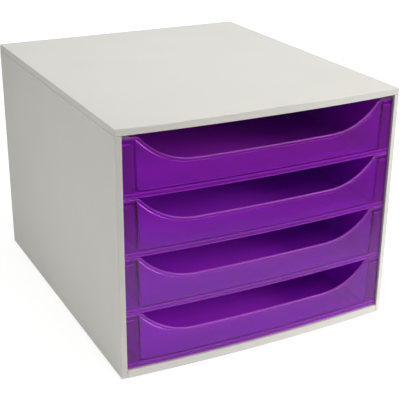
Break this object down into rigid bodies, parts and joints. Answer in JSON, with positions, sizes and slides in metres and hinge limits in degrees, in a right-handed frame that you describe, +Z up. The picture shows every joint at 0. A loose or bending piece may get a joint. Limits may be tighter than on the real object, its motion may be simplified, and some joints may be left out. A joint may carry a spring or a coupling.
{
  "type": "desktop drawer organizer",
  "caption": "Desktop organizer case with stacked see-through purple drawers; each slides out by a hand scoop in its bowed front.",
  "frame": {"origin": "centre of the outline, on the surface that the pads stand on", "axes": "+Z up, -Y towards the user, who pulls the drawers out along -Y; +X to the user's right"},
  "size_m": [0.284, 0.3316, 0.2348],
  "materials": {
    "shell": "fine satin, warm light grey",
    "drawer": "polished, see-through purple",
    "pad": "matt grey"
  },
  "bodies": {
    "case": {"top_cover": "shell", "left_side_panel": "shell", "right_side_panel": "shell", "base_panel": "shell", "back_panel": "shell", "foot_pad_front_left": "pad", "foot_pad_front_right": "pad", "foot_pad_rear_left": "pad", "foot_pad_rear_right": "pad"},
    "drawer_1": {"drawer_1": "drawer"},
    "drawer_2": {"drawer_2": "drawer"},
    "drawer_3": {"drawer_3": "drawer"},
    "drawer_4": {"drawer_4": "drawer"}
  },
  "joints": [
    {"name": "drawer_1_slide", "type": "slide", "parent": "case", "child": "drawer_1", "axis": [0, -1, 0], "range_m": [0, 0.235]},
    {"name": "drawer_2_slide", "type": "slide", "parent": "case", "child": "drawer_2", "axis": [0, -1, 0], "range_m": [0, 0.235]},
    {"name": "drawer_3_slide", "type": "slide", "parent": "case", "child": "drawer_3", "axis": [0, -1, 0], "range_m": [0, 0.235]},
    {"name": "drawer_4_slide", "type": "slide", "parent": "case", "child": "drawer_4", "axis": [0, -1, 0], "range_m": [0, 0.235]}
  ]
}
